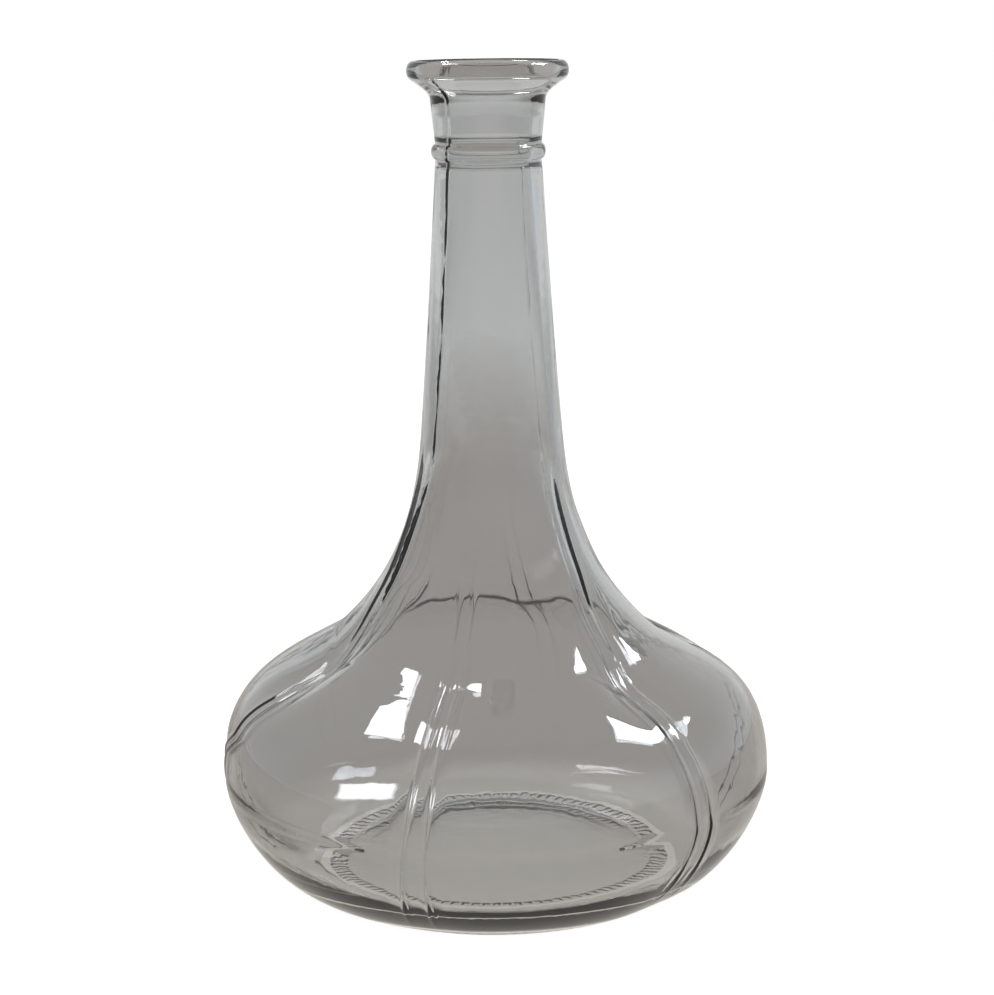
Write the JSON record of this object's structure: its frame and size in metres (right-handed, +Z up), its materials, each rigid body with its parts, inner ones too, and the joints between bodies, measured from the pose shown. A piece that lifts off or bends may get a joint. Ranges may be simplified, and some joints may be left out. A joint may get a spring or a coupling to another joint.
{
  "type": "glass carafe",
  "caption": "Clear glass carafe with a six-lobed onion body, paired swirled ribs, a long tapering neck, a bead ring and a flared lip.",
  "frame": {"origin": "centre of the foot ring, on the plane that the carafe stands on", "axes": "+Z up along the axis of the neck and body; -Y towards the viewer of the picture; +X to that viewer's right"},
  "size_m": [0.1562, 0.1562, 0.23],
  "materials": {
    "clear_glass": "gloss"
  },
  "bodies": {
    "root": {"glass_carafe": "clear_glass"}
  },
  "joints": []
}
